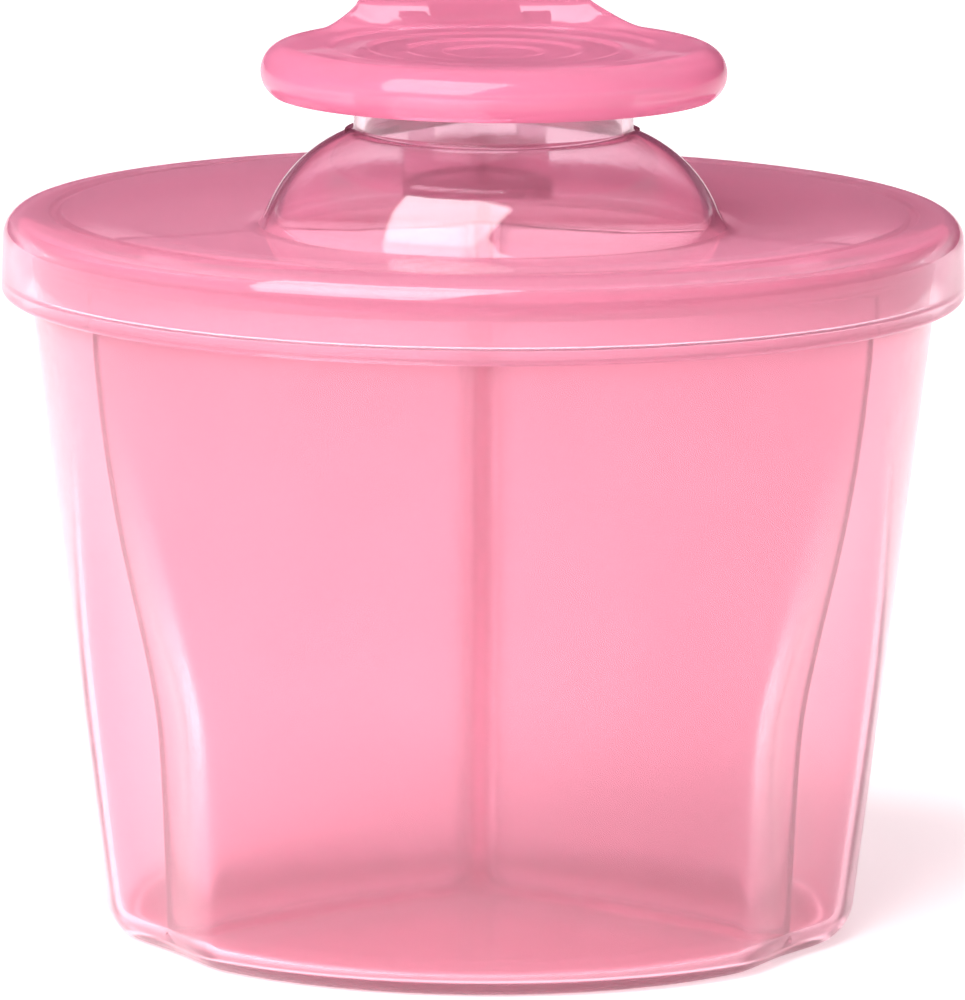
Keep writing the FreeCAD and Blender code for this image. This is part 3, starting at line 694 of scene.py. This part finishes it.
CAP_RADIUS = 28.3
CAP_CREST = 111.5
CAP_STEPS = 540
RIM_MIDDLE_RADIUS = 24.95     # the soft rim's section is an arc about this circle
RIM_MIDDLE_HEIGHT = 108.15
RIM_BEND = 3.35
RIM_SWEEP = 145               # degrees, from the crest down and round under the rim
RIM_STEPS = 24
DISH_DEPTH = 1.1
DISH_RINGS = 4
RING_FIRST = 5.5
RING_PITCH = 4.7
RING_RISE = 0.22
CAP_ROOF = 108.4              # underside of the dish, inside the cap
CAP_BOTTOM = 105.8
PLUG_RADIUS = 15.45
PLUG_TIP_RADIUS = 15.1
PLUG_BORE = 14.25
PLUG_TIP = 104.4
TAB_BACK = 32.8
TAB_HALF = 14.3
TAB_TOP = 113.1
TAB_UNDER = 109.1
TAB_SOFT = 0.8
TAB_CORNER_BLEND = 1.6
FLARE_BLEND = 12.0
FLARE_FADES = (math.radians(45), math.radians(60))    # the bar's flares run out between these angles
BAR_FADES = (math.radians(22), math.radians(50))      # and its thickness between these


def smooth_step(value):
    """Eases a share from 0 to 1, level at both ends."""
    value = min(max(value, 0.0), 1.0)
    return value * value * (3 - 2 * value)


def cap_edge(angle):
    """How far the cap reaches in one direction, and how much of that is the bar (0 to 1)."""
    off = abs((angle - math.pi / 2 + math.pi) % (2 * math.pi) - math.pi)
    if off > FLARE_FADES[1]:
        return CAP_RADIUS, 0.0
    back = TAB_BACK / math.cos(off)
    flared = -soft_min(-CAP_RADIUS, -TAB_HALF / max(math.sin(off), 0.05), FLARE_BLEND)
    if off > FLARE_FADES[0]:
        fade = smooth_step((FLARE_FADES[1] - off) / (FLARE_FADES[1] - FLARE_FADES[0]))
        flared = CAP_RADIUS + (flared - CAP_RADIUS) * fade
    edge = soft_min(max(back, CAP_RADIUS), flared, TAB_CORNER_BLEND)
    return edge, smooth_step((BAR_FADES[1] - off) / (BAR_FADES[1] - BAR_FADES[0]))


def cap_loops():
    """Loops from the middle of the dish out over the rim and the bar, and in again under the cap."""
    angles = [2 * math.pi * k / CAP_STEPS for k in range(CAP_STEPS)]
    loops = [[turned_lid(0, -SPOUT_OFFSET, CAP_CREST - DISH_DEPTH)]]
    dish = []
    for ring in range(DISH_RINGS):
        inner = RING_FIRST + RING_PITCH * ring
        low = CAP_CREST - DISH_DEPTH + RING_RISE * ring
        dish += [(inner - 0.5, low), (inner, low + 0.03), (inner + 0.4, low + 0.13),
                 (inner + 0.8, low + 0.2), (inner + 1.3, low + RING_RISE)]
    dish += [(23.0, CAP_CREST - 0.16), (24.0, CAP_CREST - 0.05)]
    # rim: inset from the disc's edge and height, paired with the same for the bar
    disc_rim, bar_rim = [], []
    for k in range(RIM_STEPS + 1):
        turn = math.radians(90 - RIM_SWEEP * k / RIM_STEPS)
        disc_rim.append((CAP_RADIUS - RIM_MIDDLE_RADIUS - RIM_BEND * math.cos(turn),
                         RIM_MIDDLE_HEIGHT + RIM_BEND * math.sin(turn)))
    half = RIM_STEPS // 2
    for k in range(RIM_STEPS + 1):
        turn = math.pi / 2 * (1 - k / half)
        if k <= half:
            height = TAB_TOP - TAB_SOFT * (1 - math.sin(turn))
        else:
            height = TAB_UNDER + TAB_SOFT * (1 + math.sin(turn))
        bar_rim.append((TAB_SOFT * (1 - math.cos(turn)), height))
    for r, z in dish:
        loop = []
        for a in angles:
            _, bar = cap_edge(a)
            lift = bar * (TAB_TOP - CAP_CREST) * smooth_step((r - 21.5) / 9)
            loop.append(turned_lid(r * math.cos(a), r * math.sin(a) - SPOUT_OFFSET, z + lift))
        loops.append(loop)
    for (disc_in, disc_z), (bar_in, bar_z) in zip(disc_rim, bar_rim):
        loop = []
        for a in angles:
            edge, bar = cap_edge(a)
            r = edge - disc_in + (disc_in - bar_in) * bar
            z = disc_z + (bar_z - disc_z) * bar
            loop.append(turned_lid(r * math.cos(a), r * math.sin(a) - SPOUT_OFFSET, z))
        loops.append(loop)
    under = soft_outline([(26.9, 106.0, 0), (26.5, CAP_BOTTOM, 0), (25.5, CAP_BOTTOM, 0.3),
                          (25.3, CAP_ROOF, 1.0), (PLUG_RADIUS, CAP_ROOF, 0.4),
                          (PLUG_TIP_RADIUS, PLUG_TIP, 0.4),
                          (PLUG_BORE, PLUG_TIP, 0.3), (PLUG_BORE, CAP_ROOF, 0.8), (0.5, CAP_ROOF, 0)], 4)
    loops += [round_loop(r, z, SPOUT_OFFSET, CAP_STEPS) for r, z in under]
    loops.append([turned_lid(0, -SPOUT_OFFSET, CAP_ROOF)])
    return loops


cap = skin("cap_moulding", cap_loops())
cap_plastic = tinted_plastic("cap_plastic", tint=(0.99, 0.76, 0.86), haze=0.365, gloss=0.06,
                             haze_tint=(0.98, 0.42, 0.60), depth=5)
cap.data.materials.append(cap_plastic)
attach(cap, "cap")
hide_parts("flip_cap")

# ---------------------------------------------------------------- hinge knuckle and pegs
# The cap's half of the hinge is a knuckle that hangs under the bar between the lid's two cheeks, in one with
# the cap. A short peg on each side of it snaps into a cheek, and the cap turns on them.

KNUCKLE_BACK = 1.8            # how far the knuckle's neck reaches behind and in front of the axis
KNUCKLE_FRONT = 5.6
KNUCKLE_SINK = 0.6            # it runs this far up into the bar
KNUCKLE_SHOULDER = 106.8
PEG_RADIUS = 1.5
PEG_SHORT = 0.2               # the pegs end this far inside the cheeks' outer faces
PEG_ARC = 35

knuckle_outline = ring_arc(KNUCKLE_RADIUS, -90, 0)
knuckle_outline += [(HINGE_Y + KNUCKLE_BACK, TAB_UNDER + KNUCKLE_SINK),
                    (HINGE_Y - KNUCKLE_FRONT, TAB_UNDER + KNUCKLE_SINK),
                    (HINGE_Y - KNUCKLE_FRONT, KNUCKLE_SHOULDER)]
knuckle_outline += ring_arc(KNUCKLE_RADIUS, 180, 268)
knuckle = side_plate("cap_knuckle", knuckle_outline, -KNUCKLE_HALF, KNUCKLE_HALF)
pegs = side_plate("cap_pegs", ring_arc(PEG_RADIUS, 0, 350, PEG_ARC), -lug_span + PEG_SHORT,
                  lug_span - PEG_SHORT, 0.25)
for part in (knuckle, pegs):
    part.data.materials.append(cap_plastic)
    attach(part, "cap")

# ---------------------------------------------------------------- table and studio
# A plain white table top of matt paper that glows a little, so that it stays white, and one large soft
# light high on the left. The room is coloured: it is pink low down and pale overhead.

bpy.ops.mesh.primitive_plane_add(size=8.0, location=(0, 1.5, 0))
table = bpy.context.object
table.name = "table_top"
paper = bpy.data.materials.new("white_paper")
paper.use_nodes = True
paper_skin = paper.node_tree.nodes["Principled BSDF"]
paper_skin.inputs["Base Color"].default_value = (0.9, 0.9, 0.9, 1)
paper_skin.inputs["Roughness"].default_value = 0.9
paper_skin.inputs["Emission Color"].default_value = (1, 1, 1, 1)
paper_skin.inputs["Emission Strength"].default_value = 0.5
table.data.materials.append(paper)

KEY_AZIMUTH = math.radians(-34)       # to the left of the front
KEY_ELEVATION = math.radians(46)
KEY_DISTANCE = 1.2                    # metres, like the rest of this section
KEY_WIDTH = 1.0
KEY_HEIGHT = 1.2
KEY_POWER = 31                        # watts
AIM = Vector((0, 0, 0.055))           # middle of the dispenser

key = bpy.data.lights.new("key_softbox", "AREA")
key.shape = "RECTANGLE"
key.size = KEY_WIDTH
key.size_y = KEY_HEIGHT
key.energy = KEY_POWER
softbox = bpy.data.objects.new("key_softbox", key)
bpy.context.scene.collection.objects.link(softbox)
towards_key = Vector((math.sin(KEY_AZIMUTH) * math.cos(KEY_ELEVATION),
                      -math.cos(KEY_AZIMUTH) * math.cos(KEY_ELEVATION), math.sin(KEY_ELEVATION)))
softbox.location = towards_key * KEY_DISTANCE + AIM
softbox.rotation_euler = (AIM - softbox.location).to_track_quat("-Z", "Y").to_euler()

# The room's walls are deep pink at the dispenser's height, brighter pink above, and plain grey overhead.
# This colours the light that grazes the plastic, so part of the pink seen is the room's.
ROOM_LOW = (0.165, (0.20, 0.055, 0.11, 1))      # share of straight up, and colour
ROOM_RISING = ((0.21, (0.80, 0.19, 0.32, 1)), (0.48, (0.80, 0.22, 0.36, 1)))
ROOM_OVERHEAD = (0.60, (0.40, 0.40, 0.40, 1))

room = bpy.data.worlds.new("pink_room")
room.use_nodes = True
room_nodes, room_links = room.node_tree.nodes, room.node_tree.links
walls = room_nodes["Background"]
walls.inputs["Strength"].default_value = 1.0
direction = room_nodes.new("ShaderNodeTexCoord")
upward = room_nodes.new("ShaderNodeSeparateXYZ")
wall_tone = room_nodes.new("ShaderNodeValToRGB")
wall_tone.color_ramp.elements[0].position = ROOM_LOW[0]
wall_tone.color_ramp.elements[0].color = ROOM_LOW[1]
wall_tone.color_ramp.elements[1].position = ROOM_OVERHEAD[0]
wall_tone.color_ramp.elements[1].color = ROOM_OVERHEAD[1]
for share, colour in ROOM_RISING:
    wall_tone.color_ramp.elements.new(share).color = colour
room_links.new(direction.outputs["Generated"], upward.inputs["Vector"])
room_links.new(upward.outputs["Z"], wall_tone.inputs["Fac"])
room_links.new(wall_tone.outputs["Color"], walls.inputs["Color"])
bpy.context.scene.world = room
bpy.context.scene.view_settings.view_transform = "Standard"

# ---------------------------------------------------------------- camera
# A long lens straight in front of the dispenser and above it, looking a little down and leaning by a
# fraction of a degree.

LENS = 400                            # millimetres
CAMERA_PLACE = (0, -1.35, 0.2812)     # metres
CAMERA_AIM = Vector((0.0001, 0, 0.0531))
CAMERA_LEAN = math.radians(0.42)

camera_data = bpy.data.cameras.new("camera")
camera_data.lens = LENS
camera = bpy.data.objects.new("camera", camera_data)
bpy.context.scene.collection.objects.link(camera)
camera.location = CAMERA_PLACE
sight = CAMERA_AIM - camera.location
camera.rotation_euler = sight.to_track_quat("-Z", "Y").to_euler()
camera.rotation_euler.rotate_axis("Z", CAMERA_LEAN)
camera_data.clip_end = 20
bpy.context.scene.camera = camera
